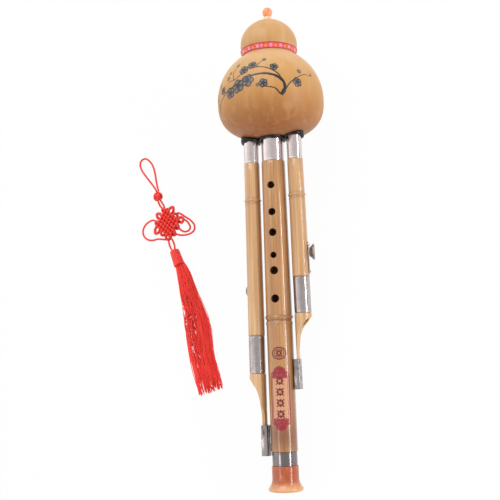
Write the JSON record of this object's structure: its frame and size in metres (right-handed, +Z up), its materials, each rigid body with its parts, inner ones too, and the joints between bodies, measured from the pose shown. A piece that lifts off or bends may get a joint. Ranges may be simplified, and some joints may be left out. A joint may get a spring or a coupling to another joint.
{
  "type": "hulusi",
  "caption": "Gourd wind chamber with a fingered bamboo pipe between two stoppered drone pipes, lying on its back beside its red knotted tassel.",
  "frame": {"origin": "on the table under the middle of the instrument's own box, without the tassel", "axes": "+Y along the instrument from the bell to the gourd, +Z up, finger holes up, tassel towards -X"},
  "size_m": [0.1924, 0.416, 0.0925],
  "materials": {
    "gourd_skin": "clear lacquer over dried gourd",
    "bamboo_golden": "lacquered bamboo",
    "bamboo_pale": "lacquered pale bamboo",
    "steel_bright": "polished",
    "steel_dull": "worn satin",
    "reed_brass": "scraped",
    "sealant_black": "glossy black sealant",
    "resin_amber": "cloudy amber",
    "resin_pale": "gloss",
    "resin_bell": "gloss",
    "ribbon_red": "woven ribbon",
    "cord_red": "silky cord"
  },
  "bodies": {
    "instrument": {"gourd_shell": "gourd_skin", "waist_ribbon": "ribbon_red", "mouthpiece_tube": "resin_pale", "pipe_seal": "sealant_black", "main_pipe": "bamboo_golden", "main_ferrule": "steel_bright", "main_reed_plate": "reed_brass", "foot_ferrule": "steel_dull", "foot_bell": "resin_bell", "left_pipe": "bamboo_pale", "left_tail": "bamboo_pale", "left_top_ferrule": "steel_bright", "left_stopper_plate": "steel_bright", "left_plate_nail_upper": "steel_bright", "left_plate_nail_lower": "steel_bright", "left_tail_ferrule": "steel_dull", "left_tail_clip": "steel_dull", "left_clip_pin": "steel_dull", "left_reed_plate": "reed_brass", "right_pipe": "bamboo_pale", "right_tail": "bamboo_pale", "right_top_ferrule": "steel_bright", "right_stopper_plate": "steel_bright", "right_plate_nail_upper": "steel_bright", "right_plate_nail_lower": "steel_bright", "right_tail_ferrule": "steel_dull", "right_tail_clip": "steel_dull", "right_clip_pin": "steel_dull", "right_reed_plate": "reed_brass"},
    "mouth_stopper": {"mouth_stopper": "resin_amber"},
    "left_stopper": {"left_drone_stopper": "steel_bright"},
    "right_stopper": {"right_drone_stopper": "steel_bright"},
    "tassel": {"tassel_hanging_loop": "cord_red", "tassel_button_knot": "cord_red", "tassel_neck_cord_left": "cord_red", "tassel_neck_cord_right": "cord_red", "tassel_endless_knot": "cord_red", "tassel_left_ear": "cord_red", "tassel_right_ear": "cord_red", "tassel_right_inner_ear": "cord_red", "tassel_tail_cord_left": "cord_red", "tassel_tail_cord_right": "cord_red", "tassel_head_wrap": "cord_red", "tassel_fringe": "cord_red"}
  },
  "joints": [
    {"name": "mouth_stopper_pull", "type": "slide", "parent": "instrument", "child": "mouth_stopper", "axis": [0, 0.9953, 0.0967], "range_m": [0, 0.016]},
    {"name": "left_stopper_pull", "type": "slide", "parent": "instrument", "child": "left_stopper", "axis": [-0.4384, 0.0901, -0.8943], "range_m": [0, 0.008]},
    {"name": "right_stopper_pull", "type": "slide", "parent": "instrument", "child": "right_stopper", "axis": [0.9848, 0.0267, -0.1719], "range_m": [0, 0.008]},
    {"name": "tassel_lift", "type": "slide", "parent": "instrument", "child": "tassel", "axis": [0, 0, 1], "range_m": [0, 0.1]}
  ]
}
